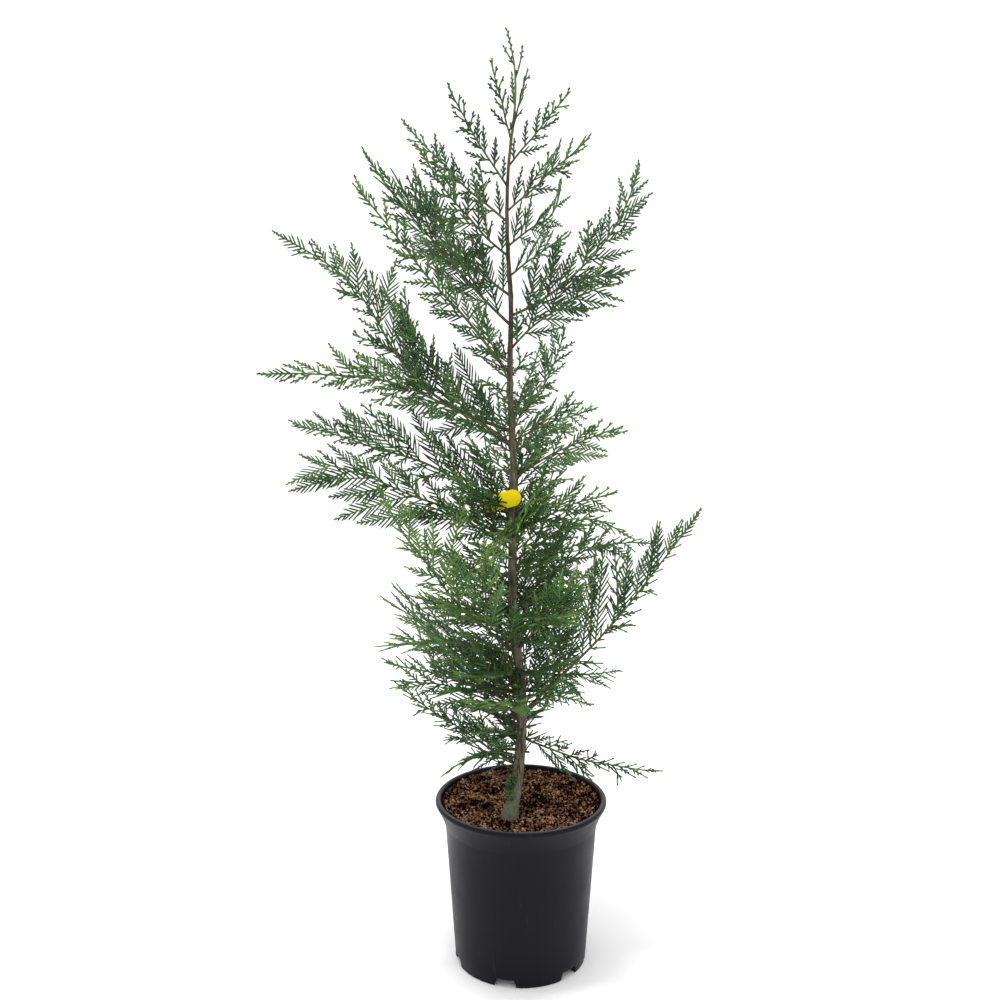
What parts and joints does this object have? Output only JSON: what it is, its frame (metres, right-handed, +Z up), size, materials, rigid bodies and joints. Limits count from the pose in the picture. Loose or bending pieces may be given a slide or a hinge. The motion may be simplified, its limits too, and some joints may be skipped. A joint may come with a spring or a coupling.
{
  "type": "potted leyland cypress",
  "caption": "Young leyland cypress with one leader and upswept feathery boughs, rooted in peat in a round black nursery pot, with a bare yellow label on its stem.",
  "frame": {"origin": "on the pot's axis, at its flat underside", "axes": "+Z up along the trunk, +X to the right and +Y away as seen in the picture"},
  "size_m": [0.4662, 0.3014, 1.0011],
  "materials": {
    "pot_plastic": "satin moulded black",
    "peat": "crumbly, matt",
    "bark": "grey-brown bark, matt",
    "label_plastic": "plain yellow, satin",
    "foliage": "scale-leaved green sprays"
  },
  "bodies": {
    "root": {"pot": "pot_plastic", "soil": "peat", "trunk": "bark", "stem_label": "label_plastic", "bough_left_5": "bark", "bough_left_6": "bark", "bough_left_7": "bark", "bough_left_8": "bark", "bough_left_9": "bark", "bough_left_10": "bark", "bough_left_11": "bark", "bough_left_14": "bark", "bough_right_5": "bark", "bough_right_9": "bark", "bough_right_11": "bark", "bough_right_12": "bark", "bough_right_16": "bark", "foliage_top_left": "foliage", "foliage_top_right": "foliage", "foliage_left_1": "foliage", "foliage_left_2": "foliage", "foliage_left_3": "foliage", "foliage_left_4": "foliage", "foliage_left_5": "foliage", "foliage_left_6": "foliage", "foliage_left_7": "foliage", "foliage_left_8": "foliage", "foliage_left_9": "foliage", "foliage_left_10": "foliage", "foliage_left_11": "foliage", "foliage_left_12": "foliage", "foliage_left_13": "foliage", "foliage_left_14": "foliage", "foliage_left_15": "foliage", "foliage_right_1": "foliage", "foliage_right_2": "foliage", "foliage_right_3": "foliage", "foliage_right_4": "foliage", "foliage_right_5": "foliage", "foliage_right_6": "foliage", "foliage_right_7": "foliage", "foliage_right_8": "foliage", "foliage_right_9": "foliage", "foliage_right_10": "foliage", "foliage_right_11": "foliage", "foliage_right_12": "foliage", "foliage_right_13": "foliage", "foliage_right_14": "foliage", "foliage_right_15": "foliage", "foliage_right_16": "foliage", "foliage_back_1": "foliage", "foliage_back_2": "foliage", "foliage_back_3": "foliage", "foliage_back_4": "foliage", "foliage_back_5": "foliage", "foliage_back_6": "foliage", "foliage_front_1": "foliage", "foliage_front_2": "foliage", "foliage_front_3": "foliage", "foliage_front_4": "foliage"}
  },
  "joints": []
}
